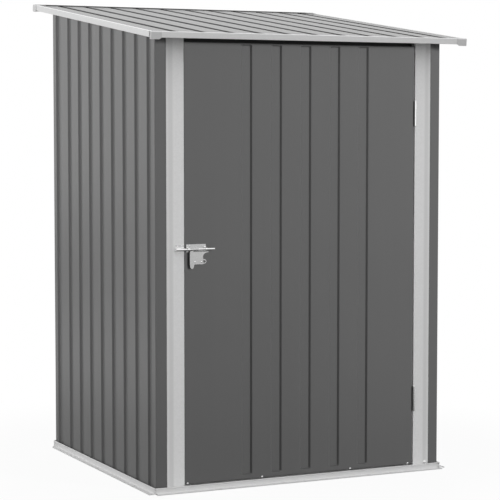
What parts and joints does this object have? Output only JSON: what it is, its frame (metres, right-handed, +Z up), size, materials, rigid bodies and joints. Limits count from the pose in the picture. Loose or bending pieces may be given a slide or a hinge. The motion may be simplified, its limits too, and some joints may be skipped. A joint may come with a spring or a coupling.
{
  "type": "metal tool shed",
  "caption": "Small pent-roof metal tool shed with grooved sheet walls, a hinged sheet door, galvanised base rails and roof trims, and a slide bolt with a padlock eye.",
  "frame": {"origin": "centre of the roof's plan at ground level", "axes": "+Z up, +Y from the door to the back, +X to the right of someone facing the door"},
  "size_m": [1.1408, 1.134, 1.6103],
  "materials": {
    "painted_sheet": "satin",
    "painted_roof": "satin",
    "galvanised_trim": "satin",
    "zinc_hardware": "satin"
  },
  "bodies": {
    "shed": {"base_rail_front": "galvanised_trim", "base_rail_rear": "galvanised_trim", "base_rail_left": "galvanised_trim", "base_rail_right": "galvanised_trim", "left_wall_front_panel": "painted_sheet", "left_wall_rear_panel": "painted_sheet", "right_wall_front_panel": "painted_sheet", "right_wall_rear_panel": "painted_sheet", "rear_wall_left_panel": "painted_sheet", "rear_wall_right_panel": "painted_sheet", "front_left_corner_panel": "painted_sheet", "front_right_corner_panel": "painted_sheet", "rear_left_corner_panel": "painted_sheet", "rear_right_corner_panel": "painted_sheet", "door_jamb_left": "galvanised_trim", "door_jamb_right": "galvanised_trim", "door_header": "painted_sheet", "side_top_rail_left": "galvanised_trim", "side_top_rail_right": "galvanised_trim", "rear_top_rail": "galvanised_trim", "roof_beam": "galvanised_trim", "roof_panel_left": "painted_roof", "roof_panel_right": "painted_roof", "roof_trim_front": "galvanised_trim", "roof_trim_rear": "galvanised_trim", "roof_trim_left": "galvanised_trim", "roof_trim_right": "galvanised_trim", "roof_cap_front_left": "galvanised_trim", "roof_cap_front_right": "galvanised_trim", "roof_cap_rear_left": "galvanised_trim", "roof_cap_rear_right": "galvanised_trim", "hinge_upper_jamb_leaf": "zinc_hardware", "hinge_lower_jamb_leaf": "zinc_hardware", "latch_keeper": "zinc_hardware"},
    "door": {"door_panel": "painted_sheet", "door_stile_latch": "galvanised_trim", "door_stile_hinge": "galvanised_trim", "door_rail_top": "galvanised_trim", "door_rail_bottom": "galvanised_trim", "hinge_upper_door_leaf": "zinc_hardware", "hinge_lower_door_leaf": "zinc_hardware", "latch_base": "zinc_hardware"},
    "bolt": {"bolt_rod": "zinc_hardware", "bolt_handle": "zinc_hardware"}
  },
  "joints": [
    {"name": "door_swing", "type": "hinge", "parent": "shed", "child": "door", "pos_m": [0.4225, -0.481, 0.72875], "axis": [0, 0, 1], "range_deg": [0, 105]},
    {"name": "bolt_slide", "type": "slide", "parent": "door", "child": "bolt", "axis": [1, 0, 0], "range_m": [0, 0.036]}
  ]
}
